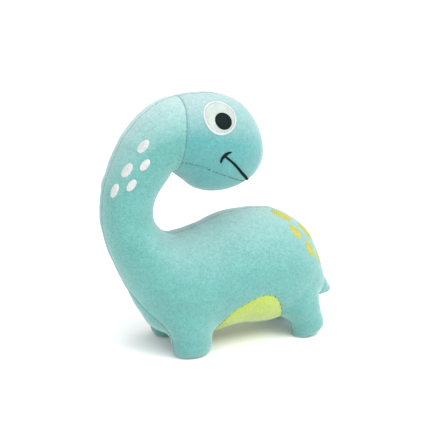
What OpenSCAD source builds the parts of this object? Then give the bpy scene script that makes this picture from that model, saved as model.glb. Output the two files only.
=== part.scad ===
// Stuffed long-necked dinosaur: sewn fabric panels over fibre filling, with
// embroidered eyes, mouth and spots. The chest faces -X, the neck rises there
// and arches back, so the face looks along +X, over the body and the tail.
// Left is -Y. Lengths are millimetres, for a toy 300 mm tall, times `size`.

/* [Toy] */
// Height from the soles to the top of the head
toy_height = 300; // [240:10:360]
// Thickness of the short-pile fabric
fabric_t = 1.6; // [1.2:0.1:2.2]
// Thickness of an embroidered patch above the fabric
stitch_t = 0.9; // [0.6:0.1:1.2]

/* [Face] */
// Diameter of the white of each eye, with its border
eye_d = 40; // [32:1:44]
// Width of the satin border round each eye
eye_border = 2.2; // [1.5:0.1:3]
// Diameter of each pupil
pupil_d = 19; // [14:1:22]
// Width of the mouth line
mouth_w = 2.8; // [2:0.2:4]

/* [Body] */
// Height of the point where the chest gusset starts
chest_top = 92; // [84:1:100]
// Height that the belly panel reaches up the sides
belly_top = 69; // [60:1:76]
// Distance from the middle of a foot to the centre plane
leg_spread = 31; // [29:0.5:33]
// Forward lean of the body over its upright legs
body_lean = 2.1; // [0:0.1:4]

/* [Movement] */
// Bend of the neck that the filling leaves room for, each way
bend_room = 10; // [9:1:14]
// Swing of the tail that its filling leaves room for, each way
swing_room = 24; // [15:1:30]
// Gap between parts that move against each other
moving_gap = 0.4; // [0.3:0.1:0.8]

/* [Hidden] */

drawn_height = 293.9;       // the stations below draw the toy this high
size = toy_height / drawn_height;
origin_x = 24.3;            // moves the middle of the outline's length to X = 0
ring_steps = 2;             // rings from one station to the next
ring_sides = 24;
leg_sides = 18;
lean_about = [70, 0, 0];    // between the rear feet
seam_gap = 0.14;            // between two panels sewn edge to edge
sole_t = fabric_t;
skin_color = [0.50, 0.80, 0.79];
belly_color = [0.77, 0.86, 0.44];
spot_color = [0.87, 0.83, 0.38];
thread_white = [0.95, 0.96, 0.94];
thread_black = [0.10, 0.12, 0.12];
fibre_color = [0.96, 0.96, 0.94];

// Stations of the body and neck, from the rump to the head seam: [x, z, half depth, half width, heading].
body_stations = [
    [101, 63, 7, 8, 170], [96, 64, 22, 23, 170], [80, 66.5, 42.5, 40, 164], [57.3, 73.5, 60.3, 51, 160],
    [27, 85.5, 69, 55, 168], [-11, 89, 68, 55, 183], [-52, 83, 65.5, 52.5, 176], [-82, 88, 62.5, 50, 157],
    [-95, 101, 53, 47, 144], [-116, 120, 37, 41, 129], [-131, 146, 30, 36, 112], [-137, 171, 28.5, 33, 92],
    [-132.6, 200.8, 29.5, 32.5, 70], [-116, 231.2, 33, 35, 53.4], [-109.3, 241.2, 33.4, 36.5, 38.4],
    [-100.2, 249.4, 35.9, 39, 21.6], [-88, 256, 39.6, 42, 2], [-75.5, 257, 42.9, 44.5, -14],
    [-70, 253.5, 45.8, 45, -19]
];
// Stations of the head, from behind the head seam to the snout, and of the tail, from the rump to the tip.
head_stations = [
    [-90.5, 255, 40, 41.8, 2], [-75.5, 257, 42.9, 44.5, -14], [-54, 251, 49.5, 47, -21],
    [-34, 241, 54, 48, -26], [-16, 232, 50, 46, -25], [2, 224, 38.5, 38, -23], [14, 219, 24, 26, -22],
    [22, 216, 13, 12, -22], [24.5, 215, 5, 5, -22]
];
tail_stations = [[92, 50, 23, 20, -30], [103, 46, 16, 17, -33], [111.2, 41.2, 10.8, 12, -38],
                 [118.5, 37, 6.3, 7, -42], [122.3, 34.8, 3, 3.2, -45]];
// Stations of a leg, from the sole up: [x, z, half length, half width].
front_leg_stations = [[-75, 0, 18, 13], [-76, 3, 22, 16], [-76.5, 12, 24.5, 19], [-77, 21, 24.5, 18.5],
                      [-79, 32, 28, 20], [-80, 46, 31, 21.5], [-77, 64, 28, 18], [-74, 77, 17, 12]];
rear_leg_stations = [[67, 0, 11, 12], [69, 3, 16, 15.5], [72.5, 11, 21, 18.5], [70.5, 20, 23, 18.5],
                     [65, 30, 24.5, 20], [61, 42, 25.5, 21], [61, 60, 21, 16], [59, 74, 14, 10]];

// Plane of the seam between head and neck: its centre, and its lean about Y.
seam_centre = [-81.3, 0, 255.5];
seam_lean = 8.5;
// Plane of the seam along the jaw: a point on it, and its slope.
jaw_point = [-83, 0, 237];
jaw_slope = 26;
// Middle of the neck's thinnest section, where it bends, and the neck's heading there.
neck_bend = [-136, 0, 183];
bend_heading = 84;
// The upright line that the tail swings about.
tail_root = [102, 0, 46];

// Eye and pupil: their middles on the left side, and the way they face.
eye_at = [-41, -37, 278];
pupil_at = [-38.5, -39, 274];
eye_faces = [0.12, -0.82, 0.56];
// Mouth line and cheek mark, as [x, z].
mouth_line = [[-41, 238], [-35, 233], [-27, 225], [-19, 216], [-10, 207], [-2, 198.5], [8, 190]];
cheek_mark = [[-45, 231.5], [-44, 236], [-41, 239.5], [-34, 242]];
// Spots: [middle, way they face, long axis, length, width], on the left side.
neck_spots = [
    [[-126, -27, 255], [-0.58, -0.72, 0.38], [0.74, 0, 0.67], 16.5, 9.6],
    [[-143, -23, 230], [-0.72, -0.60, 0.35], [0.75, 0, 0.65], 17.5, 10],
    [[-126.5, -32, 236], [-0.31, -0.95, 0.09], [0.68, 0, 0.73], 14.5, 7.8],
    [[-156, -18, 208], [-0.78, -0.59, 0.19], [0.55, 0, 0.8], 16.5, 9],
    [[-141, -29, 215], [-0.47, -0.86, 0.18], [0.68, 0, 0.73], 14.5, 7.8]
];
rump_spots = [
    [[47, -15, 148], [0.33, -0.35, 0.88], [0.88, -0.32, -0.45], 28, 14.5],
    [[55.5, -33, 132.5], [0.33, -0.68, 0.65], [0.55, -0.35, -0.75], 20, 11],
    [[75, -21.5, 127.5], [0.62, -0.42, 0.66], [0.55, -0.3, -0.75], 27, 12],
    [[71.5, -38.5, 110.5], [0.52, -0.75, 0.40], [0.3, -0.25, -0.9], 20.5, 11],
    [[86.5, -29, 94.5], [0.76, -0.56, 0.30], [0.25, -0.1, -0.95], 22, 11]
];

function catmull(a, b, c, d, t) =
    0.5 * (2 * b + (c - a) * t + (2 * a - 5 * b + 4 * c - d) * t * t + (3 * b - 3 * c + d - a) * t * t * t);
function smooth(s, steps) =
    let (n = len(s), e = concat([2 * s[0] - s[1]], s, [2 * s[n - 1] - s[n - 2]]))
    concat([for (i = [0:n - 2], k = [0:steps - 1]) catmull(e[i], e[i + 1], e[i + 2], e[i + 3], k / steps)],
           [s[n - 1]]);
function unit(v) = v / norm(v);
// Faces of a tube of rings, split as mirror images on its two sides, so that tubes of
// different thickness nest.
function ring_faces(rings, sides) = concat(
    [[for (j = [sides - 1:-1:0]) j]],
    [for (i = [0:rings - 2], j = [0:sides - 1]) let (a = i * sides + j, d = i * sides + (j + 1) % sides)
        each j < sides / 2 ? [[a, d, d + sides], [a, d + sides, a + sides]]
                           : [[a, d, a + sides], [d, d + sides, a + sides]]],
    [[for (j = [0:sides - 1]) (rings - 1) * sides + j]]);

// A tube through stations in the centre plane; `grow` thickens it, and moves its ends as much.
module tube(stations, grow = 0) {
    s = smooth(stations, ring_steps);
    last = len(s) - 1;
    points = [for (i = [0:last]) let (q = s[i], shift = i == last ? grow : i == 0 ? -grow : 0)
        for (j = [0:ring_sides - 1]) let (t = 360 * j / ring_sides, a = (q[2] + grow) * cos(t))
            [q[0] + shift * cos(q[4]) - a * sin(q[4]), (q[3] + grow) * sin(t),
             q[1] + shift * sin(q[4]) + a * cos(q[4])]];
    polyhedron(points, ring_faces(last + 1, ring_sides));
}

// An upright leg through its stations, on the left side.
module leg(stations, grow = 0) {
    points = [for (q = stations) for (j = [0:leg_sides - 1]) let (t = -360 * j / leg_sides)
        [q[0] + (q[2] + grow) * cos(t), -leg_spread + (q[3] + grow) * sin(t), q[1]]];
    polyhedron(points, ring_faces(len(stations), leg_sides));
}

// The body's own frame leans over the legs; `way` is 1 to lean with it and -1 to stand up in it.
module lean(way) {
    translate(lean_about) rotate([0, -way * body_lean, 0]) translate(-lean_about) children();
}

module both_sides() {
    children();
    mirror([0, 1, 0]) children();
}

module all_legs(grow = 0) {
    lean(-1) both_sides() {
        leg(front_leg_stations, grow);
        leg(rear_leg_stations, grow);
    }
}

// Puts its children, made round +Z, on a surface point that faces `n`, with +X along `a`.
module facing(at, n, a) {
    w = unit(n);
    u = unit(a - (a * w) * w);
    v = cross(w, u);
    multmatrix([[u[0], v[0], w[0], at[0]], [u[1], v[1], w[1], at[1]], [u[2], v[2], w[2], at[2]], [0, 0, 0, 1]])
        children();
}

// One closed mesh, leaned and put in the toy's own frame; a resize by zero keeps every size.
module placed(c) {
    color(c) translate([origin_x * size, 0, 0]) scale(size) resize([0, 0, 0]) lean(1) children();
}

// The side of the head seam that holds the head, from `gap` past the seam.
module head_side(gap, reach = 130) {
    translate(seam_centre) rotate([0, seam_lean, 0]) translate([gap, -80, -60]) cube([reach, 160, 130]);
}
module left_half() { translate([-250, -100 - seam_gap / 2, -10]) cube([500, 100, 350]); }

// Panels ------------------------------------------------------------------

module skin_below_head() {
    difference() {
        union() {
            tube(body_stations);
            all_legs();
        }
        tube(body_stations, -fabric_t);
        all_legs(-fabric_t);
        head_side(-moving_gap / 2, 60);
        lean(-1) translate([-150, -80, -10]) cube([300, 160, 10 + sole_t]);
    }
}
// An upright bar along X whose section is the polygon, from `x` on.
module bar(section, x, length) {
    rotate([90, 0, 90]) translate([0, 0, x]) linear_extrude(length) polygon(section);
}
// The gusset under the chest: from a point on the chest to the middle of each front leg.
module chest_zone() {
    half = leg_spread + 0.7;
    bar([[0, chest_top], [-half, 38], [-half, -3], [half, -3], [half, 38]], -170, 125);
}
// The gusset under the rump: from the middle of each rear leg to below the tail.
module rump_zone() {
    half = leg_spread + 0.7;
    bar([[-8, 34], [-half, 24], [-half, -6], [half, -6], [half, 24], [8, 34]], 30, 90);
}
// The belly panel's edge is an arch on each side, longer in front than behind.
module belly_zone() {
    middle = 2;
    arch = [for (x = [-50:5:40]) [x, belly_top - (x < middle ? 0.0017 * pow(middle - x, 2.6)
                                                              : 0.00087 * pow(x - middle, 3))]];
    difference() {
        rotate([90, 0, 0]) linear_extrude(140, center = true) polygon(concat(arch, [[40, -5], [-50, -5]]));
        all_legs(-fabric_t / 2);
    }
}
module left_side_panel() {
    placed(skin_color) difference() {
        intersection() {
            skin_below_head();
            left_half();
        }
        chest_zone();
        rump_zone();
        belly_zone();
    }
}
module chest_gusset() {
    placed(skin_color) difference() {
        intersection() {
            skin_below_head();
            chest_zone();
        }
        belly_zone();
    }
}
module belly_panel() {
    placed(belly_color) intersection() {
        skin_below_head();
        belly_zone();
    }
}
module rump_gusset() {
    placed(skin_color) difference() {
        intersection() {
            skin_below_head();
            rump_zone();
        }
        belly_zone();
    }
}
// A flat oval sole, sewn into the bottom of a leg.
module sole(stations, side) {
    s = stations[0];
    color(skin_color) translate([(origin_x + s[0]) * size, side * leg_spread * size, 0])
        linear_extrude(sole_t * size)
            polygon([for (j = [0:35]) size * [s[2] * cos(10 * j), s[3] * sin(10 * j)]]);
}

// Filling -----------------------------------------------------------------

under_skin = -fabric_t - 0.3;
throat_slack = 0.5;         // the neck's filling keeps this further in, where its rings crowd at the throat
leg_overlap = 0.4;          // the body's filling gives way this much more to the legs
neck_base = [-94, 0, 100];  // the neck's filling starts here, across the bend above the chest
neck_lean = -55;

module neck_side(gap) {
    translate(neck_base) rotate([0, neck_lean, 0]) translate([-70, -80, gap]) cube([270, 160, 240]);
}
// The neck's side of its thinnest section that the head is on, turned by `lean`.
module above_bend(lean, gap) {
    translate(neck_bend) rotate([0, lean - bend_heading, 0]) translate([gap, -80, -170]) cube([200, 160, 240]);
}
module body_fill() {
    placed(fibre_color) difference() {
        tube(body_stations, under_skin);
        neck_side(-0.1);
        all_legs(under_skin + leg_overlap);
    }
}
module neck_lower_fill() {
    placed(fibre_color) difference() {
        intersection() {
            tube(body_stations, under_skin);
            neck_side(0.1);
        }
        above_bend(0, -0.5);
    }
}
// Its foot is a wedge, so that the neck can bend both ways.
module neck_upper_fill() {
    placed(fibre_color) difference() {
        intersection() {
            tube(body_stations, under_skin - throat_slack);
            above_bend(-bend_room, 0.5);
            above_bend(bend_room, 0.5);
        }
        head_side(-moving_gap / 2, 60);
    }
}
module leg_fill(stations, side) {
    placed(fibre_color) lean(-1) scale([1, -side, 1]) intersection() {
        leg(stations, under_skin);
        translate([-150, -80, sole_t + 0.1]) cube([300, 160, 90]);
    }
}

// Embroidery --------------------------------------------------------------

// A layer over the fabric of a tube, from `low` to `high` above it.
module layer(stations, low, high) {
    difference() {
        tube(stations, high);
        tube(stations, low);
    }
}
module oval(spot) {
    facing(spot[0], spot[1], spot[2]) scale([spot[3] / 2, spot[4] / 2, 1])
        cylinder(h = 26, r = 1, center = true, $fn = 20);
}
module spots(list, c) {
    placed(c) intersection() {
        layer(body_stations, 0.06, stitch_t);
        union() for (spot = list) oval(spot);
    }
}
module eye_disc(at, r) {
    facing(at, eye_faces, [1, 0, 0]) cylinder(h = 40, r = r, center = true, $fn = 40);
}
module eye_white() {
    placed(thread_white) intersection() {
        layer(head_stations, 0.06, stitch_t * 0.7);
        eye_disc(eye_at, eye_d / 2 - eye_border - 0.05);
    }
}
module eye_border_ring() {
    placed(thread_white) intersection() {
        layer(head_stations, 0.06, stitch_t * 1.2);
        difference() {
            eye_disc(eye_at, eye_d / 2);
            eye_disc(eye_at, eye_d / 2 - eye_border);
        }
    }
}
module pupil() {
    placed(thread_black) intersection() {
        layer(head_stations, stitch_t * 0.7 + 0.06, stitch_t * 1.5);
        eye_disc(pupil_at, pupil_d / 2);
    }
}
module stroke(path, w) {
    for (i = [0:len(path) - 2]) hull() {
        translate(path[i]) circle(d = w, $fn = 12);
        translate(path[i + 1]) circle(d = w, $fn = 12);
    }
}
module mouth_stitching() {
    placed(thread_black) intersection() {
        layer(head_stations, 0.06, stitch_t);
        rotate([90, 0, 0]) linear_extrude(140, center = true) {
            stroke(mouth_line, mouth_w);
            stroke(cheek_mark, mouth_w);
        }
    }
}

// Head --------------------------------------------------------------------

module above_jaw(gap = 0) {
    translate(jaw_point) rotate([0, jaw_slope, 0]) translate([-60, -80, gap]) cube([220, 160, 120]);
}
module head_skin() {
    intersection() {
        difference() {
            tube(head_stations);
            tube(head_stations, -fabric_t);
        }
        head_side(moving_gap / 2, 130);
    }
}
module head_left_panel() {
    placed(skin_color) intersection() {
        head_skin();
        above_jaw();
        left_half();
    }
}
module chin_gusset() {
    placed(skin_color) difference() {
        head_skin();
        above_jaw();
    }
}
module head_fill() {
    placed(fibre_color) intersection() {
        tube(head_stations, under_skin);
        head_side(moving_gap / 2 + 0.1, 130);
    }
}

// Tail --------------------------------------------------------------------

module tail_left_panel() {
    placed(skin_color) difference() {
        intersection() {
            tube(tail_stations);
            left_half();
        }
        tube(tail_stations, -fabric_t);
        tube(body_stations, moving_gap);
        all_legs(moving_gap);
    }
}
// Its root is a wedge, so that it can swing both ways behind the rump.
module tail_fill() {
    placed(fibre_color) difference() {
        tube(tail_stations, under_skin);
        for (turn = [-swing_room, swing_room])
            translate(tail_root) rotate([0, 0, turn]) translate([-40, -60, -60]) cube([40, 120, 120]);
    }
}

left_side_panel();
mirror([0, 1, 0]) left_side_panel();  // right_side_panel
chest_gusset();
belly_panel();
rump_gusset();
sole(front_leg_stations, -1);  // front_left_sole
sole(front_leg_stations, 1);  // front_right_sole
sole(rear_leg_stations, -1);  // rear_left_sole
sole(rear_leg_stations, 1);  // rear_right_sole
body_fill();
neck_lower_fill();
neck_upper_fill();
leg_fill(front_leg_stations, -1);  // front_left_leg_fill
leg_fill(front_leg_stations, 1);  // front_right_leg_fill
leg_fill(rear_leg_stations, -1);  // rear_left_leg_fill
leg_fill(rear_leg_stations, 1);  // rear_right_leg_fill
spots(neck_spots, thread_white);  // left_neck_spots
mirror([0, 1, 0]) spots(neck_spots, thread_white);  // right_neck_spots
spots(rump_spots, spot_color);  // left_rump_spots
mirror([0, 1, 0]) spots(rump_spots, spot_color);  // right_rump_spots
head_left_panel();
mirror([0, 1, 0]) head_left_panel();  // head_right_panel
chin_gusset();
head_fill();
eye_white();  // left_eye_white
mirror([0, 1, 0]) eye_white();  // right_eye_white
eye_border_ring();  // left_eye_border
mirror([0, 1, 0]) eye_border_ring();  // right_eye_border
pupil();  // left_pupil
mirror([0, 1, 0]) pupil();  // right_pupil
mouth_stitching();
tail_left_panel();
mirror([0, 1, 0]) tail_left_panel();  // tail_right_panel
tail_fill();
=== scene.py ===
import math

import bpy
import numpy as np
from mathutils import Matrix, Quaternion, Vector
from mathutils.bvhtree import BVHTree
from mathutils.kdtree import KDTree


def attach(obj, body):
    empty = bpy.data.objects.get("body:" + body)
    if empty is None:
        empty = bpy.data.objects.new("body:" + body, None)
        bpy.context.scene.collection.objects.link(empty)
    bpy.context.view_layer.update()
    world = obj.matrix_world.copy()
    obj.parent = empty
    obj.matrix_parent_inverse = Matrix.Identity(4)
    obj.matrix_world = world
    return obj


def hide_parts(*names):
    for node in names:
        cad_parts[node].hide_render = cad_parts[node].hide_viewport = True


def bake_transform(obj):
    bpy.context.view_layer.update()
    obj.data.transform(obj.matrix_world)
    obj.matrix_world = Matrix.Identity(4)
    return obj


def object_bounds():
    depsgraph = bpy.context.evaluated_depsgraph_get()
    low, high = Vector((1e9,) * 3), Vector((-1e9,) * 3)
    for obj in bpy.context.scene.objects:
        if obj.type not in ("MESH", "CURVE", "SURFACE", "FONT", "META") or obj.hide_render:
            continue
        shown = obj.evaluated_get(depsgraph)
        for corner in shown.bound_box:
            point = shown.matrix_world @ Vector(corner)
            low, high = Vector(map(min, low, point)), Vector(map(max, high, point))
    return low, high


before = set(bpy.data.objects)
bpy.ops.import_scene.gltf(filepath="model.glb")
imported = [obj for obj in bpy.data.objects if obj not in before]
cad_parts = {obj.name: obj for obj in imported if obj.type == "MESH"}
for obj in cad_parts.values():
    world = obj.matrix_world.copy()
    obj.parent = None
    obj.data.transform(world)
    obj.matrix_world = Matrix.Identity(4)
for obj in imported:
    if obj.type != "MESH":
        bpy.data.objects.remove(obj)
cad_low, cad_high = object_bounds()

# A sewn long-necked dinosaur. Everything is laid out in the drawn millimetres of the CAD source
# (chest to -X, face and tail to +X, the toy's left to -Y), in the body's own frame, which leans
# over the upright legs, and is leaned and scaled to the row's frame at the end.
DRAWN_HEIGHT, ORIGIN_X = 293.9, 24.3
UNIT = cad_high.z / DRAWN_HEIGHT
LEAN, LEAN_X = math.radians(2.1), 70
VOXEL = 1.25

# [x, z, half depth, half width, heading], rump to head seam; behind the seam to snout; rump to tail tip
BODY = [
    (102.5, 55, 8, 11, 170), (97.5, 57, 22, 27.5, 170), (80, 66.5, 42.5, 40.3, 164),
    (57.3, 73.5, 60.3, 51, 160),
    (27, 85.5, 69, 55, 168), (-11, 89, 68, 55, 183), (-52, 83, 65.5, 52.5, 176), (-82, 88, 62.5, 50, 157),
    (-95, 101, 53, 47, 144), (-116, 120, 37, 41, 129), (-131, 146, 30, 36, 112), (-137, 171, 28.5, 33, 92),
    (-132.6, 200.8, 29.5, 32.5, 70), (-116, 231.2, 33, 35, 53.4), (-109.3, 241.2, 33.4, 36.5, 38.4),
    (-100.2, 249.4, 35.9, 39, 21.6), (-88, 256, 39.6, 42, 2), (-75.5, 257, 42.9, 44.5, -14)]
HEAD = [
    (-90.5, 255, 40, 41.8, 2), (-75.5, 257, 42.9, 44.5, -14), (-54, 251, 49.5, 47, -21),
    (-34, 241, 54, 48, -26), (-16, 232, 50, 46, -25), (2, 224, 38.5, 38, -23), (14, 219, 24, 26, -22),
    (22, 216, 13, 12, -22), (24.5, 215, 5, 5, -22)]
TAIL = [(92, 50, 23, 20, -30), (103, 46, 16, 17, -33), (111.2, 41.2, 10.8, 12, -38), (118.5, 37, 6.3, 7, -42),
        (122.3, 34.8, 3, 3.2, -45)]
# [x, z, half length, half width], sole up, standing upright
FRONT = [(-75, 0, 18, 13), (-76, 3, 22, 16), (-76.5, 12, 24.5, 19), (-77, 21, 24.5, 18.5), (-79, 32, 28, 20),
         (-80, 46, 31, 21.5), (-77, 64, 28, 18), (-74, 77, 17, 12)]
REAR = [(67, 0, 11, 12), (69, 3, 16, 15.5), (72.5, 11, 21, 18.5), (70.5, 20, 23, 18.5), (65, 30, 24.5, 20),
        (61, 42, 25.5, 21), (61, 60, 21, 16), (59, 74, 14, 10)]
SPREAD = 31
SEAM, SEAM_SLOPE = (-80.3, 255.5), 0.152    # a point on the head seam, and its lean
TAIL_ROOT = 107                    # the tail is sewn on no further out than this
FILLING_PARTS = 99                 # filling further out than this is the tail's

NECK_SPOTS = [
    ((-126, -27, 255), (-0.58, -0.72, 0.38), (0.74, 0, 0.67), 16.8, 9.1),
    ((-143, -23, 230), (-0.72, -0.60, 0.35), (0.77, 0, 0.63), 17.5, 9.3),
    ((-126.5, -32, 236), (-0.31, -0.95, 0.09), (0.68, 0, 0.73), 14.5, 7.8),
    ((-156, -18, 208), (-0.78, -0.59, 0.19), (0.57, 0, 0.79), 16.5, 8.6),
    ((-141, -29, 215), (-0.47, -0.86, 0.18), (0.68, 0, 0.73), 14.5, 7.8)]
RUMP_SPOTS = [
    ((47, -15, 148), (0.33, -0.35, 0.88), (0.88, -0.32, -0.45), 28, 14.5),
    ((55.5, -33, 132.5), (0.33, -0.68, 0.65), (0.55, -0.35, -0.75), 20, 11),
    ((75, -21.5, 127.5), (0.62, -0.42, 0.66), (0.55, -0.3, -0.75), 27, 12),
    ((71.5, -38.5, 110.5), (0.52, -0.75, 0.40), (0.3, -0.25, -0.9), 20.5, 11),
    ((86.5, -29, 94.5), (0.76, -0.56, 0.30), (0.25, -0.1, -0.95), 22, 11)]
# The far side's top spot sits a little lower, as nothing yellow shows over the back.
FAR_TOP_SPOT = ((47, -19.5, 146.6), (0.33, -0.43, 0.84), (0.88, -0.32, -0.45), 28, 14.5)
EYE, EYE_FACES, EYE_R = (-41.4, -36.5, 278.6), (0.12, -0.82, 0.56), 19.7
PUPIL, PUPIL_R = (-39.4, -39, 274.2), 9.6
EYE_OVAL, PUPIL_OVAL = (math.radians(52), 0.97), (0, 0.925)      # turn, squash
MOUTH = [(-41.5, -47, 238.5), (-35, -47, 233), (-27, -46, 225), (-19, -42, 216), (-10, -35, 207),
         (-2.5, -25, 200), (4, -12, 197.5), (6, 0, 197)]
CHEEK = [(-45.5, -46, 230.5), (-44.5, -47, 235.5), (-41.5, -47.5, 239), (-38, -48, 241), (-33, -48, 242)]


def unit(v):
    v = np.asarray(v, float)
    return v / np.maximum(np.linalg.norm(v, axis=-1, keepdims=True), 1e-12)


def leaned(v, way=1):
    """Body frame to upright toy frame, or back with way=-1."""
    c, s = math.cos(LEAN), math.sin(LEAN) * way
    x, z = v[..., 0] - LEAN_X, v[..., 2]
    return np.stack([LEAN_X + x * c - z * s, v[..., 1], x * s + z * c], -1)


def spline(points, steps):
    """Catmull-Rom through the points, as the CAD source smooths its stations."""
    s = np.array(points, float)
    e = np.vstack([2 * s[0] - s[1], s, 2 * s[-1] - s[-2]])
    out = []
    for i in range(len(s) - 1):
        a, b, c, d = e[i : i + 4]
        for t in np.arange(steps) / steps:
            out.append(0.5 * (2 * b + (c - a) * t + (2 * a - 5 * b + 4 * c - d) * t**2
                              + (3 * b - 3 * c + d - a) * t**3))
    return np.array(out + [s[-1]])


def grid_faces(rings, sides):
    i, j = np.meshgrid(np.arange(rings - 1), np.arange(sides), indexing="ij")
    a, k = i * sides + j, i * sides + (j + 1) % sides
    return np.stack([a, k, k + sides, a + sides], -1).reshape(-1, 4).tolist()


def capped_faces(rings, sides):
    """A tube's faces, with both ends closed."""
    first, last = list(range(sides)), list(range((rings - 1) * sides, rings * sides))
    return grid_faces(rings, sides) + [first[::-1], last]


def tube(stations, sides=112, steps=8):
    s = spline(stations, steps)
    head = np.radians(s[:, 4])[:, None]
    t = np.linspace(0, 2 * math.pi, sides, endpoint=False)[None]
    a = s[:, 2:3] * np.cos(t)
    v = np.stack([s[:, 0:1] - a * np.sin(head), s[:, 3:4] * np.sin(t) * np.ones_like(a),
                  s[:, 1:2] + a * np.cos(head)], -1).reshape(-1, 3)
    return v, capped_faces(len(s), sides)


def leg(stations, side, sides=72, steps=6):
    s = spline(stations, steps)
    t = np.linspace(0, 2 * math.pi, sides, endpoint=False)[None]
    v = np.stack([s[:, 0:1] + s[:, 2:3] * np.cos(t), side * SPREAD + s[:, 3:4] * np.sin(t),
                  s[:, 1:2] + 0 * t], -1).reshape(-1, 3)
    v = leaned(v, -1)
    return v, capped_faces(len(s), sides)


def make(name, v, faces):
    me = bpy.data.meshes.new(name)
    me.from_pydata([tuple(map(float, p)) for p in v], [], [tuple(map(int, f)) for f in faces])
    me.update()
    ob = bpy.data.objects.new(name, me)
    bpy.context.scene.collection.objects.link(ob)
    return ob


def arrays(me):
    v = np.zeros(len(me.vertices) * 3)
    me.vertices.foreach_get("co", v)
    me.calc_loop_triangles()
    f = np.zeros(len(me.loop_triangles) * 3, np.int64)
    me.loop_triangles.foreach_get("vertices", f)
    return v.reshape(-1, 3), f.reshape(-1, 3)


def remeshed(v, faces, voxel):
    """The outer surface of everything in the mesh, as an even closed mesh."""
    ob = make("remesh_source", v, faces)
    m = ob.modifiers.new("remesh", "REMESH")
    m.mode, m.voxel_size = "VOXEL", voxel
    ev = ob.evaluated_get(bpy.context.evaluated_depsgraph_get())
    out = arrays(ev.to_mesh())
    ev.to_mesh_clear()
    me = ob.data
    bpy.data.objects.remove(ob)
    bpy.data.meshes.remove(me)
    return out


def edges_of(f):
    e = np.sort(np.concatenate([f[:, [0, 1]], f[:, [1, 2]], f[:, [2, 0]]]), axis=1)
    return np.unique(e, axis=0)


def relax(v, e, mask, rounds, pull=0.5):
    """Moves each vertex towards its neighbours' mean, by its mask."""
    a, b = np.concatenate([e[:, 0], e[:, 1]]), np.concatenate([e[:, 1], e[:, 0]])
    n = len(v)
    deg = np.maximum(np.bincount(a, minlength=n), 1)[:, None]
    w = (np.ones(n) * mask)[:, None] * pull
    for _ in range(rounds):
        mean = np.stack([np.bincount(a, v[b, k], n) for k in range(3)], 1) / deg
        v = v + w * (mean - v)
    return v


def normals_of(v, f):
    c = np.cross(v[f[:, 1]] - v[f[:, 0]], v[f[:, 2]] - v[f[:, 0]])
    n = np.stack([sum(np.bincount(f[:, i], c[:, k], len(v)) for i in range(3)) for k in range(3)], 1)
    return unit(n)


def from_tube(p, stations):
    """About how far each point is outside a tube, in millimetres."""
    s = spline(stations, 6)
    h = np.radians(s[:, 4])
    out = np.empty(len(p))
    for i in range(0, len(p), 20000):
        q = p[i : i + 20000]
        x, z = q[:, 0:1] - s[None, :, 0], q[:, 2:3] - s[None, :, 1]
        along, across = x * np.cos(h) + z * np.sin(h), -x * np.sin(h) + z * np.cos(h)
        r = np.sqrt((across / s[:, 2]) ** 2 + (q[:, 1:2] / s[:, 3]) ** 2) - 1
        size = np.sqrt(s[:, 2] * s[:, 3])
        best = np.argmin(along**2 + (r * size) ** 2, axis=1)
        rows = np.arange(len(q))
        out[i : i + 20000] = (r * size)[rows, best] + 0.3 * np.abs(along[rows, best])
    return out


def from_leg(p, stations):
    """About how far each point is outside an upright leg, measured level."""
    s, p = spline(stations, 6), leaned(p)
    z = np.clip(p[:, 2], s[0, 1], s[-1, 1])
    cx, rx, ry = (np.interp(z, s[:, 1], s[:, k]) for k in (0, 2, 3))
    r = np.sqrt(((p[:, 0] - cx) / rx) ** 2 + ((np.abs(p[:, 1]) - SPREAD) / ry) ** 2) - 1
    return r * np.sqrt(rx * ry) + np.maximum(p[:, 2] - s[-1, 1], 0)


def noise_at(p, size, seed=0):
    """Smooth gradient noise, about -1 to 1, with lumps of this size."""
    q = p / size + 31.7 * seed
    cell = np.floor(q).astype(np.int64)
    f = q - cell
    w = f * f * f * (f * (f * 6 - 15) + 10)
    total = np.zeros(len(p))
    for corner in np.ndindex(2, 2, 2):
        c = cell + corner
        h = (c[:, 0] * 73856093) ^ (c[:, 1] * 19349663) ^ (c[:, 2] * 83492791)
        h = (h ^ (h >> 13)) * 1274126177 & 0x7FFFFFFF
        turn, rise = (h % 4096) / 4096 * 2 * math.pi, ((h >> 12) % 4096) / 2048 - 1
        flat = np.sqrt(1 - rise**2)
        d = f - corner
        dot = d[:, 0] * flat * np.cos(turn) + d[:, 1] * flat * np.sin(turn) + d[:, 2] * rise
        total += dot * np.prod(np.where(corner, w, 1 - w), axis=1)
    return 1.6 * total


# ---------------------------------------------------------------- the stuffed form
parts = [tube(BODY), tube(HEAD), tube(TAIL, 72)]
parts += [leg(s, side) for s in (FRONT, REAR) for side in (-1, 1)]
V, faces = np.zeros((0, 3)), []
for v, f in parts:
    faces += [[i + len(V) for i in face] for face in f]
    V = np.vstack([V, v])
V, F = remeshed(V, faces, VOXEL)

E = edges_of(F)
V = relax(V, E, 1, 4)
d_body, d_head, d_tail = from_tube(V, BODY), from_tube(V, HEAD), from_tube(V, TAIL)
d_leg = np.minimum(from_leg(V, FRONT), from_leg(V, REAR))
# Legs and tail run into the body over a soft valley; the throat keeps its sharp crease.
near_leg = np.exp(-((np.abs(d_leg) + np.abs(d_body)) / 9) ** 2) * (V[:, 2] < 95)
near_tail = np.exp(-((np.abs(d_tail) + np.abs(d_body)) / 5) ** 2) * (V[:, 0] > 85)
V = relax(V, E, np.clip(near_leg * 1.2, 0, 1) * np.where(V[:, 0] > 78, 0.35, 1), 90)
V = relax(V, E, np.clip(near_tail, 0, 1), 12)
V = relax(V, E, (V[:, 0] > 12) & (V[:, 2] > 190), 14)      # snout tip


def folded(v):
    """The far side folded onto the near side, so that both are shaped alike under their stitching."""
    return np.stack([v[:, 0], np.abs(v[:, 1]), v[:, 2]], -1)


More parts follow.
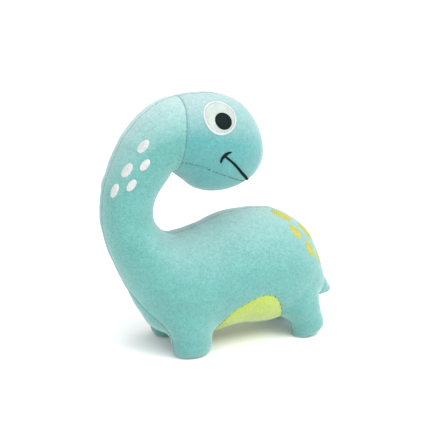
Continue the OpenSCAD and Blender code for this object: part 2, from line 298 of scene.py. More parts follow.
def grounded(v):
    """Nothing goes below the floor."""
    t = leaned(v)
    t[:, 2] = np.maximum(t[:, 2], 0.15)
    return leaned(t, -1)


V = grounded(V)


CLOTH_UNIT, FRAMES = 100, 20       # drawn millimetres in a unit of the simulation, and its steps
LIFT = (-1.5, 2.5)                 # how far the cloth may settle or rise


def inflate(v, f):
    """Cloth under pressure, pinned along the seams, on a coarse copy. Returns the lift of the fine form."""
    cv, cf = remeshed(v, f, 5.5)
    n = normals_of(cv, cf)
    start = cv - 0.8 * n
    ob = make("cloth", start / CLOTH_UNIT, cf)
    pinned = np.exp(-(seam_distance(cv) / 6) ** 2) > 0.35
    pinned |= leaned(cv)[:, 2] < 6
    g = ob.vertex_groups.new(name="pin")
    g.add([int(i) for i in np.where(pinned)[0]], 1.0, "REPLACE")
    m = ob.modifiers.new("cloth", "CLOTH")
    m.settings.vertex_group_mass = "pin"
    m.settings.use_pressure, m.settings.uniform_pressure_force = True, 4
    m.settings.tension_stiffness = m.settings.compression_stiffness = 25
    m.settings.shear_stiffness, m.settings.bending_stiffness = 8, 1.5
    m.settings.quality = 6
    m.settings.effector_weights.gravity = 0
    m.point_cache.frame_start, m.point_cache.frame_end = 1, FRAMES
    scene = bpy.context.scene
    for k in range(1, FRAMES + 1):
        scene.frame_set(k)
    ev = ob.evaluated_get(bpy.context.evaluated_depsgraph_get())
    moved, _ = arrays(ev.to_mesh())
    ev.to_mesh_clear()
    scene.frame_set(1)
    lift = np.einsum("ij,ij->i", moved * CLOTH_UNIT - cv, n)
    me = ob.data
    bpy.data.objects.remove(ob)
    bpy.data.meshes.remove(me)
    lift = np.clip(lift - np.median(lift), *LIFT)
    tree = KDTree(len(cv))
    for i, p in enumerate(cv):
        tree.insert(p, i)
    tree.balance()
    twin = [tree.find((x, -y, z))[1] for x, y, z in cv]
    lift = (lift + lift[twin]) / 2
    out = np.zeros(len(v))
    for i, p in enumerate(v):
        near = tree.find_n(p, 4)
        w = np.array([1 / (d + 0.5) for _, _, d in near])
        out[i] = (w * lift[[k for _, k, _ in near]]).sum() / w.sum()
    return out


# ---------------------------------------------------------------- where the panels meet
def f_head(p):
    lean = p[:, 0] - SEAM[0] - (p[:, 2] - SEAM[1]) * SEAM_SLOPE + 3.6 * (p[:, 1] / 42) ** 2
    return np.where(p[:, 2] < 180, -50, lean)


def f_mid(p):
    return p[:, 1]


def f_jaw(p):
    return p[:, 2] - (195.6 - 0.494 * p[:, 0]) + 5 * np.exp(-np.maximum(p[:, 0] + 86, 0) / 8)


def f_leg(p):
    out = np.full(len(p), -20.0)
    low = p[:, 2] < 90
    q = p[low]
    out[low] = from_tube(q, BODY) - np.minimum(from_leg(q, FRONT), from_leg(q, REAR)) - 0.5
    return out


def f_belly(p):
    x = p[:, 0] - 2
    fore, aft = np.maximum(-x, 0), np.maximum(x, 0)
    arch = 69 - np.maximum(0.11 * fore**1.4, 0.0017 * fore**2.6) - 0.00087 * aft**3
    return np.minimum(np.clip(arch, -20, 80) - p[:, 2], -f_leg(p) - 0.5)


def f_chest(p):
    w = np.minimum((92 - p[:, 2]) * 0.587, SPREAD + 0.7)
    return np.where(p[:, 0] > -45, -30, w - np.abs(p[:, 1]))


def f_rump(p):
    w = np.interp(p[:, 2], [0, 24, 34, 36], [SPREAD + 0.7, SPREAD + 0.7, 8, -4])
    return np.where(p[:, 0] < 30, -30, w - np.abs(p[:, 1]))


def f_sole(p):
    t = leaned(p)
    out = np.full(len(p), -9.0)
    for x, _, rx, ry in (FRONT[0], REAR[0]):
        r = np.sqrt(((t[:, 0] - x) / (rx + 1)) ** 2 + ((np.abs(t[:, 1]) - SPREAD) / (ry + 1)) ** 2)
        out = np.maximum(out, (1 - r) * 12)
    return np.where(t[:, 2] > 3, -9, out)


def f_tail(p):
    out = np.full(len(p), -9.0)
    near = (p[:, 0] > 84) & (p[:, 2] < 80)
    q = p[near]
    out[near] = np.maximum(from_tube(q, BODY) - from_tube(q, TAIL), q[:, 0] - TAIL_ROOT)
    return out


def cut(v, f, value):
    """Splits triangles along value = 0. Returns vertices, triangles, parent triangle and each one's side."""
    v, g = v.copy(), value.copy()
    e = edges_of(f)
    a, b = e[:, 0], e[:, 1]
    crossing = g[a] * g[b] < 0
    a, b = a[crossing], b[crossing]
    t = g[a] / (g[a] - g[b])
    idx, other, share = np.concatenate([a, b]), np.concatenate([b, a]), np.concatenate([t, 1 - t])
    near = np.where(share < 0.3)[0]
    near = near[np.argsort(-share[near], kind="stable")]
    target = v[idx[near]] + (v[other[near]] - v[idx[near]]) * share[near, None]
    v[idx[near]] = target
    g[idx[near]] = 0
    a, b = e[:, 0], e[:, 1]
    crossing = g[a] * g[b] < 0
    a, b = a[crossing], b[crossing]
    t = (g[a] / (g[a] - g[b]))[:, None]
    n = len(v)
    key = a * n + b
    v = np.vstack([v, v[a] * (1 - t) + v[b] * t])

    def middle(p, q):
        lo, hi = np.minimum(p, q), np.maximum(p, q)
        return n + np.searchsorted(key, lo * n + hi)

    s = np.sign(g)[f]
    x = np.stack([s[:, i] * s[:, (i + 1) % 3] < 0 for i in range(3)], 1)
    count = x.sum(1)
    whole = np.where(count == 0)[0]
    out, parent, side = [f[whole]], [whole], [np.sign(s[whole].sum(1))]
    for i in range(3):
        j, k = (i + 1) % 3, (i + 2) % 3
        rows = np.where((count == 1) & x[:, j])[0]          # the edge opposite corner i is cut
        p, q, r = f[rows, i], f[rows, j], f[rows, k]
        m = middle(q, r)
        out += [np.stack([p, q, m], 1), np.stack([p, m, r], 1)]
        parent += [rows, rows]
        side += [s[rows, j], s[rows, k]]
        rows = np.where((count == 2) & x[:, i] & x[:, k])[0]  # corner i is alone on its side
        p, q, r = f[rows, i], f[rows, j], f[rows, k]
        m1, m2 = middle(p, q), middle(p, r)
        out += [np.stack([p, m1, m2], 1), np.stack([m1, q, r], 1), np.stack([m1, r, m2], 1)]
        parent += [rows] * 3
        side += [s[rows, i], s[rows, j], s[rows, j]]
    return v, np.vstack(out), np.concatenate(parent), np.concatenate(side)


FIELDS = [("head", f_head), ("mid", f_mid), ("jaw", f_jaw), ("belly", f_belly), ("chest", f_chest),
          ("rump", f_rump), ("sole", f_sole), ("tail", f_tail)]


def seam_distance(p):
    """Rough distance to the nearest seam, from the fields themselves."""
    d = np.abs(f_mid(p))
    for name, field in FIELDS[:1] + FIELDS[3:6]:
        d = np.minimum(d, np.abs(field(p)))
    return np.minimum(d, np.where(f_head(p) > 0, np.abs(f_jaw(p)), 99))


V = V + normals_of(V, F) * inflate(V, F)[:, None]

sides = {}
for name, field in FIELDS:
    V, F, parent, side = cut(V, F, field(V))
    sides = {k: s[parent] for k, s in sides.items()}
    sides[name] = side
P = {k: s > 0 for k, s in sides.items()}
centre = V[F].mean(1)
PANELS = ["left_side_panel", "right_side_panel", "chest_gusset", "belly_panel", "rump_gusset",
          "front_left_sole", "front_right_sole", "rear_left_sole", "rear_right_sole",
          "head_left_panel", "head_right_panel", "chin_gusset", "tail_left_panel", "tail_right_panel"]
L, R, CHEST, BELLY, RUMP = range(5)            # places in PANELS
SOLE, HL, HR, CHIN, TL, TR = 5, 9, 10, 11, 12, 13
right = P["mid"].astype(int)
panel = right.copy()
panel = np.where(P["chest"], CHEST, panel)
panel = np.where(P["rump"], RUMP, panel)
panel = np.where(P["belly"], BELLY, panel)
panel = np.where(P["sole"], SOLE + right + 2 * (centre[:, 0] > 0), panel)
panel = np.where(P["head"], np.where(P["jaw"], HL + right, CHIN), panel)
panel = np.where(P["tail"] & ~P["head"], TL + right, panel)


def shared_edges(f):
    e = np.sort(np.concatenate([f[:, [0, 1]], f[:, [1, 2]], f[:, [2, 0]]]), axis=1)
    face = np.tile(np.arange(len(f)), 3)
    order = np.lexsort((e[:, 1], e[:, 0]))
    e, face = e[order], face[order]
    same = np.all(e[1:] == e[:-1], axis=1)
    i = np.where(same)[0]
    return e[i], face[i], face[i + 1]


e2, fa, fb = shared_edges(F)
apart = panel[fa] != panel[fb]
seam_edges = e2[apart]
pa, pb = np.sort(np.stack([panel[fa], panel[fb]]), axis=0)[:, apart]

# Straighten the seams a little, then puff the panels between them and sink the seams.
on_seam = np.zeros(len(V), bool)
on_seam[seam_edges.ravel()] = True
sunk = np.ones(len(V))                                          # how deep each seam lies
flat_seam = (pa == L) & (pb == R) | (pa == HL) & (pb == HR)      # down the middle of the neck and back
sunk[seam_edges[flat_seam].ravel()] = 0.4
sunk[seam_edges[(pb >= HL) & (pb <= HR) & (pa < HL)].ravel()] = 0.7
sunk[seam_edges[pb == CHIN].ravel()] = 0.5
line = np.zeros((len(V), 3))
count = np.zeros(len(V))
for i, j in ((0, 1), (1, 0)):
    np.add.at(line, seam_edges[:, i], V[seam_edges[:, j]])
    np.add.at(count, seam_edges[:, i], 1)
twice = count == 2
V[twice] = 0.5 * V[twice] + 0.5 * line[twice] / 2
E = edges_of(F)
V = relax(V, E, np.where(on_seam, 0, 1), 3)

N = normals_of(V, F)
tree = KDTree(int(on_seam.sum()))
seam_ids = np.where(on_seam)[0]
for i in seam_ids:
    tree.insert(V[i], int(i))
tree.balance()
near = [tree.find(p) for p in V]
S = np.array([d for _, _, d in near])
nearest = [int(i) for _, i, _ in near]
near_side = folded(V)
pucker = noise_at(near_side[nearest], 3.2, 4.0)
lumps = sum(high * noise_at(near_side, wide, seed) for high, wide, seed in
            ((0.55, 34, 1.0), (0.3, 13, 2.0), (0.06, 3.5, 3.0)))
groove = 0.85 * np.exp(-((S / 1.3) ** 2))
puff = 0.75 * np.exp(-((S / 7) ** 2))
puckers = 0.3 * pucker * np.exp(-(((S - 2.2) / 2.2) ** 2))
depth = (groove + puff - puckers) * sunk[nearest]
floor_free = np.clip(leaned(V)[:, 2] / 4, 0, 1)
V = grounded(V + N * ((lumps - depth) * floor_free)[:, None])
N = normals_of(V, F)
surface = BVHTree.FromPolygons(V.tolist(), F.tolist())


# ---------------------------------------------------------------- materials
def nodes_for(name):
    m = bpy.data.materials.new(name)
    m.use_nodes = True
    t = m.node_tree
    return m, t, t.nodes["Principled BSDF"], t.nodes.new("ShaderNodeTexCoord")


def noise_node(t, coord, scale, detail=2.0, rough=0.5):
    n = t.nodes.new("ShaderNodeTexNoise")
    n.inputs["Scale"].default_value = scale
    n.inputs["Detail"].default_value = detail
    n.inputs["Roughness"].default_value = rough
    t.links.new(coord.outputs["Object"], n.inputs["Vector"])
    return n


def ramp(t, source, stops, low=0.35, high=0.65):
    r = t.nodes.new("ShaderNodeValToRGB")
    while len(r.color_ramp.elements) < len(stops):
        r.color_ramp.elements.new(0.5)
    for i, c in enumerate(stops):
        r.color_ramp.elements[i].position = low + (high - low) * i / (len(stops) - 1)
        r.color_ramp.elements[i].color = (*c, 1)
    t.links.new(source, r.inputs["Fac"])
    return r


def mixed(t, a, b, factor, blend="MIX"):
    m = t.nodes.new("ShaderNodeMix")
    m.data_type, m.blend_type = "RGBA", blend
    if isinstance(factor, float):
        m.inputs["Factor"].default_value = factor
    else:
        t.links.new(factor, m.inputs["Factor"])
    t.links.new(a, m.inputs["A"])
    t.links.new(b, m.inputs["B"])
    return m.outputs["Result"]


def map_range(t, source, low, high, to_low, to_high):
    r = t.nodes.new("ShaderNodeMapRange")
    for label, value in (("From Min", low), ("From Max", high), ("To Min", to_low), ("To Max", to_high)):
        r.inputs[label].default_value = value
    t.links.new(source, r.inputs["Value"])
    return r.outputs["Result"]


def velour(name, base, painted_highlight_colour, lift):
    """Short pile: faint brushed patches, a speckle of single tufts, and a painted highlight that mixes the
    colour towards a pale tint where the fabric faces up, more so higher up towards the head."""
    m, t, p, c = nodes_for(name)
    patch = ramp(t, noise_node(t, c, 40, 4, 0.6).outputs["Fac"], [tuple(0.95 * k for k in base), base,
                                                                  tuple(1.06 * k for k in base)], 0.3, 0.72)
    brushed = ramp(t, noise_node(t, c, 230, 3, 0.65).outputs["Fac"], [(0.90,) * 3, (1.09,) * 3], 0.34, 0.66)
    tuft = ramp(t, noise_node(t, c, 620, 3, 0.75).outputs["Fac"], [(0.70,) * 3, (1,) * 3, (1.24,) * 3],
                0.32, 0.68)
    grain = ramp(t, noise_node(t, c, 1500, 2, 0.6).outputs["Fac"], [(0.86,) * 3, (1.12,) * 3], 0.36, 0.64)
    faces_up, place = t.nodes.new("ShaderNodeSeparateXYZ"), t.nodes.new("ShaderNodeSeparateXYZ")
    t.links.new(c.outputs["Normal"], faces_up.inputs["Vector"])
    t.links.new(c.outputs["Object"], place.inputs["Vector"])
    # Painted highlight: paler where the object normal points up, scaled by height, in place of light from
    # above.
    painted_highlight_mix = t.nodes.new("ShaderNodeMath")
    painted_highlight_mix.operation = "MULTIPLY"
    t.links.new(map_range(t, faces_up.outputs["Z"], 0.12, 0.95, 0, lift), painted_highlight_mix.inputs[0])
    t.links.new(map_range(t, place.outputs["Z"], 0.13, 0.23, 0.5, 1), painted_highlight_mix.inputs[1])
    painted_highlight_rgb = t.nodes.new("ShaderNodeRGB")
    painted_highlight_rgb.outputs["Color"].default_value = (*painted_highlight_colour, 1)
    colour = mixed(t, patch.outputs["Color"], painted_highlight_rgb.outputs["Color"], painted_highlight_mix.outputs["Value"])
    colour = mixed(t, colour, brushed.outputs["Color"], 0.7, "MULTIPLY")
    colour = mixed(t, colour, tuft.outputs["Color"], 0.6, "MULTIPLY")
    colour = mixed(t, colour, grain.outputs["Color"], 0.6, "MULTIPLY")
    t.links.new(colour, p.inputs["Base Color"])
    p.inputs["Roughness"].default_value = 0.95
    p.inputs["Specular IOR Level"].default_value = 0.1
    p.inputs["Sheen Weight"].default_value = 1.0
    p.inputs["Sheen Roughness"].default_value = 0.5
    p.inputs["Sheen Tint"].default_value = (0.5, 0.55, 0.55, 1)
    pile = t.nodes.new("ShaderNodeBump")
    pile.inputs["Strength"].default_value = 0.5
    pile.inputs["Distance"].default_value = 0.0005
    t.links.new(noise_node(t, c, 950, 3, 0.7).outputs["Fac"], pile.inputs["Height"])
    t.links.new(pile.outputs["Normal"], p.inputs["Normal"])
    return m


def thread(name, dark, light, rough, spec=0.4, sheen=0.15):
    """Embroidery floss: strands a little apart in shade, with fine fibre bump."""
    m, t, p, c = nodes_for(name)
    strand = ramp(t, noise_node(t, c, 900, 3, 0.6).outputs["Fac"], [dark, light], 0.35, 0.62)
    broad = ramp(t, noise_node(t, c, 90, 2, 0.5).outputs["Fac"], [(0.9,) * 3, (1.04,) * 3], 0.35, 0.65)
    colour = mixed(t, strand.outputs["Color"], broad.outputs["Color"], 0.8, "MULTIPLY")
    t.links.new(colour, p.inputs["Base Color"])
    p.inputs["Roughness"].default_value = rough
    p.inputs["Specular IOR Level"].default_value = spec
    p.inputs["Sheen Weight"].default_value = sheen
    b = t.nodes.new("ShaderNodeBump")
    b.inputs["Strength"].default_value = 0.35
    b.inputs["Distance"].default_value = 0.0002
    t.links.new(noise_node(t, c, 2600, 2, 0.6).outputs["Fac"], b.inputs["Height"])
    t.links.new(b.outputs["Normal"], p.inputs["Normal"])
    return m


# The second colour and the last number of each velour paint a highlight on its up-facing fabric.
teal = velour("turquoise_velour", (0.108, 0.302, 0.280), (0.41, 0.52, 0.52), 0.66)
# The head's teal is a darker copy of the body's teal: painted shade.
teal_head_painted_shade = velour("turquoise_velour_head_painted_shade", (0.080, 0.272, 0.270), (0.40, 0.48, 0.48), 0.62)
green = velour("green_velour", (0.335, 0.425, 0.075), (0.42, 0.47, 0.30), 0.3)
white_floss = thread("white_floss", (0.40, 0.43, 0.42), (0.50, 0.525, 0.515), 0.45)
border_floss = thread("border_floss", (0.42, 0.455, 0.45), (0.49, 0.525, 0.52), 0.45)
eye_floss = thread("eye_floss", (0.33, 0.38, 0.355), (0.385, 0.43, 0.405), 0.6, 0.3, 0.15)
yellow_floss = thread("yellow_floss", (0.32, 0.31, 0.04), (0.42, 0.41, 0.085), 0.55, 0.3, 0.05)
black_floss = thread("black_floss", (0.003, 0.007, 0.007), (0.008, 0.015, 0.015), 0.6, 0.05, 0.0)
seam_floss = thread("seam_floss", (0.02, 0.13, 0.15), (0.04, 0.18, 0.20), 0.7, 0.2, 0.0)
edge_floss = thread("edge_floss", (0.07, 0.10, 0.03), (0.15, 0.20, 0.05), 0.7, 0.2, 0.0)
fibre = thread("fibre_filling", (0.80, 0.81, 0.80), (0.93, 0.93, 0.92), 0.9, 0.1, 0.4)


# ---------------------------------------------------------------- pieces
def at(x, y, z):
    """A place in the upright toy frame, in the row's metres."""
    return ((x + ORIGIN_X) * UNIT, y * UNIT, z * UNIT)


def to_frame(v):
    return (leaned(np.asarray(v, float)) + (ORIGIN_X, 0, 0)) * UNIT


def piece(name, v, f, material, slot, body=None, bend=False, nodes=()):
    ob = make(name, to_frame(v), f)
    ob.data.materials.append(material)
    ob.data.shade_smooth()
    if nodes:
        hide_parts(*nodes)
    if bend == "neck":
        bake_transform(ob)
    elif bend == "tail":
        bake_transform(ob)
    else:
        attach(ob, body)
    return ob


def turned_edge(v, n, f, keep):
    """The panel's own triangles, with its cut edge turned in as a seam allowance."""
    rows = f[keep]
    used, local = np.unique(rows, return_inverse=True)
    local = local.reshape(-1, 3)
    pv, pn = v[used], n[used]
    e = np.concatenate([local[:, [0, 1]], local[:, [1, 2]], local[:, [2, 0]]])
    key = np.sort(e, axis=1)
    _, first, times = np.unique(key, axis=0, return_index=True, return_counts=True)
    rim = e[first[times == 1]]
    ids = np.unique(rim)
    centre_of = pv[local].mean(1)
    inward, hits = np.zeros_like(pv), np.zeros(len(pv))
    for k in range(3):
        np.add.at(inward, local[:, k], centre_of)
        np.add.at(hits, local[:, k], 1)
    inward = unit(inward / np.maximum(hits, 1)[:, None] - pv)
    where = {int(i): len(pv) + k for k, i in enumerate(ids)}
    low = pv[ids] - 2.4 * pn[ids] + 0.7 * inward[ids]
    faces = local.tolist() + [[int(b), int(a), where[int(a)], where[int(b)]] for a, b in rim]
    return np.vstack([pv, low]), faces


for i, name in enumerate(PANELS):
    v, f = turned_edge(V, N, F, panel == i)
    body = "head" if HL <= i <= CHIN else "tail" if i >= TL else "torso"
    bend = "neck" if i in (L, R) else "tail" if i >= TL else False
    # Head panels take the darker copy of the teal, which is painted shade.
    fabric = green if i == BELLY else teal_head_painted_shade if body == "head" else teal
    slot = "green_fabric" if i == BELLY else "turquoise_fabric"
    ob = piece(name + "_cloth", v, f, fabric, slot, body, bend, (name,))


# Filling: one mass of fibre inside the skin, in tufts.
sv, sf = remeshed(V, F.tolist(), 4.0)
sn = normals_of(sv, sf)
sv = sv - (3.4 + 0.5 * noise_at(sv, 9, 5.0))[:, None] * sn
in_tail = sv[:, 0] > FILLING_PARTS
stuffing = np.all(~in_tail[sf], axis=1)
piece("body_filling", sv, sf[stuffing], fibre, "fibre", bend="neck",
      nodes=["body_fill", "neck_lower_fill", "neck_upper_fill", "head_fill", "front_left_leg_fill",
             "front_right_leg_fill", "rear_left_leg_fill", "rear_right_leg_fill"])
piece("tail_filling", sv, sf[~stuffing], fibre, "fibre", bend="tail", nodes=["tail_fill"])


def drop(p, w, reach=30):
    """The point of the skin under p, looking along -w, and the skin's normal there."""
    hit, n, _, _ = surface.ray_cast(Vector(p + w * reach), Vector(-w), 2 * reach)
    if hit is None:
        hit, n, _, _ = surface.find_nearest(Vector(p))
    return np.array(hit), np.array(n)


def frame_at(faces, axis):
    w = unit(faces)
    u = unit(np.array(axis) - np.dot(axis, w) * w)
    return u, np.cross(w, u), w


def jitter(n, size, seed):
    r = np.random.default_rng(seed)
    return r.normal(0, size, n)


BUNCH = 2.4     # threads lie in bunches about this far apart


def satin_oval(spot, height, pitch, ridge, seed, edge=0.12):
    """Stitches laid across an oval, side by side: a dome across, a ridge for each thread."""
    mid, faces, axis, length, width = spot
    u, v, w = frame_at(faces, axis)
    columns = int(length / pitch) * 4
    xs = np.linspace(-1, 1, columns)
    eta = np.sin(np.linspace(-1, 1, 17) * math.pi / 2)
    half = width / 2 * np.power(np.maximum(1 - np.abs(xs) ** 2.3, 0), 0.5)
    threads = np.floor(np.arange(columns) / 4).astype(int)
    up, down = jitter(threads.max() + 1, edge, seed), jitter(threads.max() + 1, edge, seed + 1)
    lean = jitter(threads.max() + 1, 0.06, seed + 2)
    out = []
    for i, x in enumerate(xs):
        round_off = np.sqrt(max(1 - abs(x) ** 3, 0.0))
        wave = 0.5 - 0.5 * math.cos(2 * math.pi * (i % 4) / 4 + 0.6)
        for e in eta:
            reach = half[i] + (up if e > 0 else down)[threads[i]] * min(1, half[i] / 2)
            p = np.array(mid) + u * (x * length / 2 + lean[threads[i]] * e) + v * e * reach
            hit, n = drop(p, w)
            bunch = math.sin(math.tau * x * length / 2 / BUNCH + lean[threads[i]])
            h = height * round_off * math.sqrt(max(1 - e * e, 0)) ** 0.8 + ridge * (wave + bunch) * round_off
            h = h - 0.5 if abs(e) > 0.999 or i in (0, columns - 1) else h
            out.append(hit + unit(0.6 * n + 0.4 * w) * h)
    k = len(eta)
    faces = [(i * k + j, (i + 1) * k + j, (i + 1) * k + j + 1, i * k + j + 1)
             for i in range(columns - 1) for j in range(k - 1)]
    return np.array(out), faces


def mirrored(v, f):
    return v * np.array([1, -1, 1]), [tuple(reversed(face)) for face in f]


def joined(items):
    v, f, n = [], [], 0
    for a, b in items:
        v.append(np.asarray(a))
        f += [tuple(i + n for i in face) for face in b]
        n += len(a)
    return np.vstack(v), f


def side_pieces(name, items, material, slot, body, bend, nodes, far_items=None):
    for side in ("left", "right"):
        a, b = joined(items) if side == "left" else mirrored(*joined(far_items or items))
        piece(f"{side}_{name}", a, b, material, slot, body, bend, (nodes.format(side),))


white = [satin_oval(s, 0.95, 0.55, 0.13, 20 + i) for i, s in enumerate(NECK_SPOTS)]
side_pieces("neck_spot_stitching", white, white_floss, "white_thread", None, "neck", "{}_neck_spots")
yellow = [satin_oval(s, 0.45, 0.5, 0.10, 60 + i, 0.16) for i, s in enumerate([*RUMP_SPOTS, FAR_TOP_SPOT])]
side_pieces("rump_spot_stitching", yellow[:-1], yellow_floss, "yellow_thread", "torso", False,
            "{}_rump_spots", yellow[1:])


def squashed(x, y, oval):
    """A point of a round drawn as a slightly squashed oval."""
    c, s = math.cos(oval[0]), math.sin(oval[0])
    along, across = (x * c + y * s) / oval[1] ** 0.5, (-x * s + y * c) * oval[1] ** 0.5
    return along * c - across * s, along * s + across * c


ROW, STITCH = 0.62, 4.2     # width of a row of fill stitches, and length of a stitch


def disc(mid, radius, oval, base, dome, stitch, seed, rings=44, segments=160):
    """A filled round: rows of stitches run one way across it, each row a small step."""
    u, v, w = frame_at(EYE_FACES, (1, 0, -0.25))
    out = []
    row_shift = jitter(200, 0.7, seed)
    for i in range(rings + 1):
        r = radius * (i + 0.5) / (rings + 0.5)
        for t in np.linspace(0, 2 * math.pi, segments, endpoint=False):
            a, b = squashed(r * math.cos(t), r * math.sin(t), oval)
            row = int(math.floor(b / ROW)) + 100
            h = base + dome * (1 - (r / radius) ** 4)
            h += stitch * (abs(math.sin(math.pi * b / ROW)) - 0.5)
            h += 0.5 * stitch * math.cos(2 * math.pi * (a + row_shift[row]) / STITCH)
            hit, n = drop(np.array(mid) + u * a + v * b, w)
            out.append(hit + unit(n + w) * (h if i < rings else -0.4))
    faces = [tuple(range(segments))]
    for i in range(rings):
        for j in range(segments):
            k = (j + 1) % segments
            faces.append((i * segments + j, (i + 1) * segments + j, (i + 1) * segments + k, i * segments + k))
    return np.array(out), faces


def satin_ring(mid, inner, outer, oval, base, height, pitch, ridge, seed):
    """Satin border: threads run out from the middle, side by side round the ring."""
    u, v, w = frame_at(EYE_FACES, (1, 0, -0.25))
    threads = int(2 * math.pi * outer / pitch)
    columns = threads * 4
    out_j, in_j = jitter(threads, 0.08, seed), jitter(threads, 0.08, seed + 1)
    eta = np.sin(np.linspace(-1, 1, 11) * math.pi / 2)
    out = []
    for i in range(columns):
        t = 2 * math.pi * i / columns
        wave = 0.5 - 0.5 * math.cos(2 * math.pi * (i % 4) / 4 + 0.6)
        for e in eta:
            r = (inner + outer) / 2 + e * ((outer - inner) / 2 + (out_j if e > 0 else in_j)[i // 4])
            a, b = squashed(r * math.cos(t), r * math.sin(t), oval)
            hit, n = drop(np.array(mid) + u * a + v * b, w)
            h = base + height * math.sqrt(max(1 - e * e, 0)) + ridge * wave
            h = -0.3 if abs(e) > 0.999 else h
            out.append(hit + unit(n + 0.5 * w) * h)
    k = len(eta)
    faces = [(i * k + j, i * k + j + 1, ((i + 1) % columns) * k + j + 1, ((i + 1) % columns) * k + j)
             for i in range(columns) for j in range(k - 1)]
    return np.array(out), faces


def ribbon(points, width, height, pitch, ridge, seed, ends=(0.75, 1.0)):
    """Satin stitch along a line on the skin, threads across it, narrowed towards its ends."""
    path = spline(points, 24)
    step = np.linalg.norm(np.diff(path, axis=0), axis=1)
    s = np.concatenate([[0], np.cumsum(step)])
    columns = int(s[-1] / pitch) * 4
    q = np.stack([np.interp(np.linspace(0, s[-1], columns), s, path[:, k]) for k in range(3)], 1)
    base = [surface.find_nearest(Vector(p)) for p in q]
    p0, n0 = np.array([list(b[0]) for b in base]), np.array([list(b[1]) for b in base])
    for _ in range(6):
        n0[1:-1] = (n0[:-2] + 2 * n0[1:-1] + n0[2:]) / 4
        p0[1:-1] = (p0[:-2] + 2 * p0[1:-1] + p0[2:]) / 4
    n0, tangent = unit(n0), unit(np.gradient(p0, axis=0))
    across = unit(np.cross(n0, tangent))
    edge = jitter(columns // 4 + 1, 0.1, seed)
    eta = np.sin(np.linspace(-1, 1, 9) * math.pi / 2)
    out = []
    for i in range(columns):
        k = i / (columns - 1)
        size = np.interp(k, (0, 0.4, 0.6, 1), (ends[0], 1, 1, ends[1]))
        size *= math.sqrt(max(0.02, min(1, k * s[-1] / width * 2, (1 - k) * s[-1] / width * 2)))
        wave = 0.5 - 0.5 * math.cos(2 * math.pi * (i % 4) / 4 + 0.6)
        for e in eta:
            p = p0[i] + across[i] * e * (width / 2 * size + edge[i // 4])
            hit, _, _, _ = surface.find_nearest(Vector(p))
            h = -0.3 if abs(e) > 0.999 else height * size * math.sqrt(1 - e * e) + ridge * wave
            out.append(np.array(hit) + n0[i] * h)
    k = len(eta)
    faces = [(i * k + j, i * k + j + 1, (i + 1) * k + j + 1, (i + 1) * k + j)
             for i in range(columns - 1) for j in range(k - 1)]
    return np.array(out), faces


side_pieces("eye_white_stitching", [disc(EYE, EYE_R - 1.9, EYE_OVAL, 0.35, 0.25, 0.07, 3)],
            eye_floss, "eye_felt", "head", False, "{}_eye_white")
side_pieces("eye_border_stitching", [satin_ring(EYE, EYE_R - 2.1, EYE_R, EYE_OVAL, 0.3, 0.65, 0.5, 0.1, 5)],
            border_floss, "white_thread", "head", False, "{}_eye_border")
side_pieces("pupil_stitching", [disc(PUPIL, PUPIL_R - 0.9, PUPIL_OVAL, 1.05, 0.25, 0.08, 7, 26, 112),
                                satin_ring(PUPIL, PUPIL_R - 1.4, PUPIL_R, PUPIL_OVAL,
                                            0.95, 0.45, 0.5, 0.08, 9)],
            black_floss, "black_thread", "head", False, "{}_pupil")
line = ribbon(MOUTH, 3.2, 0.8, 0.5, 0.1, 11, (0.8, 1))
tick = ribbon(CHEEK, 3.9, 0.8, 0.5, 0.1, 13, (0.5, 0.45))
v, f = joined([line, tick, mirrored(*line), mirrored(*tick)])
piece("mouth_satin_stitching", v, f, black_floss, "black_thread", "head", False, ("mouth_stitching",))


# ---------------------------------------------------------------- stitches in the seams
def chains(pairs):
    """Seam edges between these panel pairs, as runs of vertices."""
    want = np.zeros(len(seam_edges), bool)
    for a, b in pairs:
        want |= (pa == min(a, b)) & (pb == max(a, b))
    links = {}
    for a, b in seam_edges[want]:
        links.setdefault(int(a), []).append(int(b))
        links.setdefault(int(b), []).append(int(a))
    used, runs = set(), []
    for start in sorted(links, key=lambda i: (len(links[i]) != 1, i)):
        for nxt in links[start]:
            if (min(start, nxt), max(start, nxt)) in used:
                continue
            run, here, to = [start], start, nxt
            while True:
                used.add((min(here, to), max(here, to)))
                run.append(to)
                onward = [k for k in links[to] if (min(to, k), max(to, k)) not in used]
                if not onward:
                    break
                here, to = to, onward[0]
            if len(run) > 4:
                runs.append(run)
    return runs


def capsule(p, t, n, length, thick, sides=7):
    """One stitch: three rings between two points."""
    s = np.cross(n, t)
    ring = np.linspace(0, 2 * math.pi, sides, endpoint=False)
    v = [p - t * length / 2]
    for a, r in ((-0.38, 0.75), (0.0, 1.0), (0.38, 0.75)):
        v += [p + t * a * length + (s * math.cos(k) + n * math.sin(k)) * r * thick / 2 for k in ring]
    v.append(p + t * length / 2)
    f = []
    for j in range(sides):
        a, b = 1 + j, 1 + (j + 1) % sides
        f += [(0, b, a), (3 * sides + 1, a + 2 * sides, b + 2 * sides)]
        f += [(a + k, b + k, b + k + sides, a + k + sides) for k in (0, sides)]
    return np.array(v), f


def stitches(pairs, gap, length, thick, lift, seed):
    items, r = [], np.random.default_rng(seed)
    for run in chains(pairs):
        q, m = V[run], N[run]
        s = np.concatenate([[0], np.cumsum(np.linalg.norm(np.diff(q, axis=0), axis=1))])
        marks = np.arange(gap / 2, s[-1], gap)
        for k in marks + r.normal(0, 0.14 * gap, len(marks)):
            if not 1 < k < s[-1] - 1:
                continue
            p, a, b = (np.array([np.interp(x, s, q[:, c]) for c in range(3)]) for x in (k, k - 0.9, k + 0.9))
            n = unit(np.array([np.interp(k, s, m[:, c]) for c in range(3)]))
            t = unit(b - a - np.dot(b - a, n) * n)
            items.append(capsule(p + n * lift, t, n, length * r.uniform(0.8, 1.15), thick))
    return joined(items)


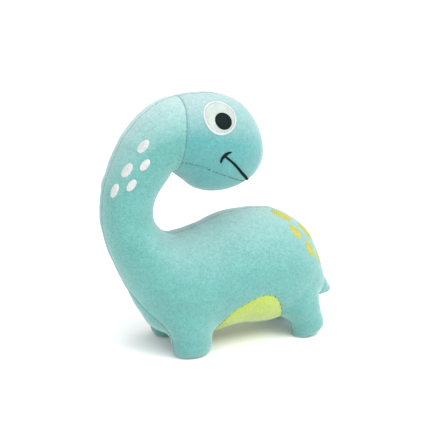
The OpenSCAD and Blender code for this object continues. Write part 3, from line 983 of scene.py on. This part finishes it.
piece("jaw_seam_thread", *stitches([(HL, CHIN), (HR, CHIN)], 3.5, 2.2, 0.85, 0.35, 31), seam_floss,
      "turquoise_fabric", "head")
piece("head_seam_thread", *stitches([(L, HL), (R, HR), (L, CHIN), (R, CHIN), (L, HR), (R, HL), (HL, HR)],
                                    2.7, 1.1, 0.6, 0.15, 32), seam_floss, "turquoise_fabric", "head")
piece("body_seam_thread", *stitches([(L, R), (L, CHEST), (R, CHEST)], 2.9, 1.1, 0.55, 0.15, 33), seam_floss,
      "turquoise_fabric", None, "neck")
piece("belly_seam_thread", *stitches([(L, BELLY), (R, BELLY), (CHEST, BELLY), (RUMP, BELLY)],
                                     9.0, 1.6, 0.9, 0.35, 34), edge_floss, "turquoise_fabric", "torso")
piece("rump_seam_thread", *stitches([(L, RUMP), (R, RUMP), (L, TL), (R, TR), (RUMP, TL), (RUMP, TR)],
                                    2.9, 1.1, 0.55, 0.15, 35), seam_floss, "turquoise_fabric", "torso")
piece("tail_seam_thread", *stitches([(TL, TR)], 2.9, 1.1, 0.55, 0.15, 36), seam_floss, "turquoise_fabric",
      None, "tail")

# ---------------------------------------------------------------- studio
cam_data = bpy.data.cameras.new("camera")
cam = bpy.data.objects.new("camera", cam_data)
bpy.context.scene.collection.objects.link(cam)
az, el, roll, far = math.radians(-27.32), math.radians(19.05), math.radians(1.985), 1300
back = Vector((math.sin(az) * math.cos(el), -math.cos(az) * math.cos(el), math.sin(el)))
cam.location = Vector(at(-5.1, 0, 137.3)) + back * far * UNIT
cam.rotation_mode = "QUATERNION"
cam.rotation_quaternion = (-back).to_track_quat("-Z", "Y") @ Quaternion((0, 0, 1), roll)
cam_data.sensor_width, cam_data.lens = 36, 95.23
cam_data.shift_x, cam_data.shift_y = -0.057, 0.020
cam_data.clip_start, cam_data.clip_end = 0.05, 20
bpy.context.scene.camera = cam

floor = make("floor", [(-6, -6, 0), (6, -6, 0), (6, 6, 0), (-6, 6, 0)], [(0, 1, 2, 3)])
m, _, p, _ = nodes_for("studio_floor")
p.inputs["Base Color"].default_value = (0.93, 0.93, 0.93, 1)
p.inputs["Roughness"].default_value = 0.9
p.inputs["Specular IOR Level"].default_value = 0.1
floor.data.materials.append(m)

world = bpy.data.worlds.new("studio")
world.use_nodes = True
world.node_tree.nodes["Background"].inputs["Color"].default_value = (1, 1, 1, 1)
world.node_tree.nodes["Background"].inputs["Strength"].default_value = 0.78
bpy.context.scene.world = world
bpy.context.scene.view_settings.view_transform = "Standard"


def softbox(name, where, size, power, aim=(0, 0, 0.14)):
    d = bpy.data.lights.new(name, "AREA")
    d.shape, d.size, d.energy = "DISK", size, power
    o = bpy.data.objects.new(name, d)
    o.location = where
    o.rotation_mode = "QUATERNION"
    o.rotation_quaternion = (Vector(aim) - Vector(where)).to_track_quat("-Z", "Y")
    bpy.context.scene.collection.objects.link(o)


sun = bpy.data.lights.new("overhead", "SUN")
sun.energy, sun.angle = 2.5, math.radians(75)
overhead = bpy.data.objects.new("overhead", sun)
overhead.rotation_mode = "QUATERNION"
overhead.rotation_quaternion = Vector((-0.25, 0.35, -1)).to_track_quat("-Z", "Y")
bpy.context.scene.collection.objects.link(overhead)
softbox("key", (0.5, -1.0, 1.4), 0.7, 8)
softbox("left", (-1.4, -0.7, 0.8), 1.0, 6)
softbox("low", (0.1, -1.6, 0.25), 0.8, 3.5, (0, 0, 0.04))
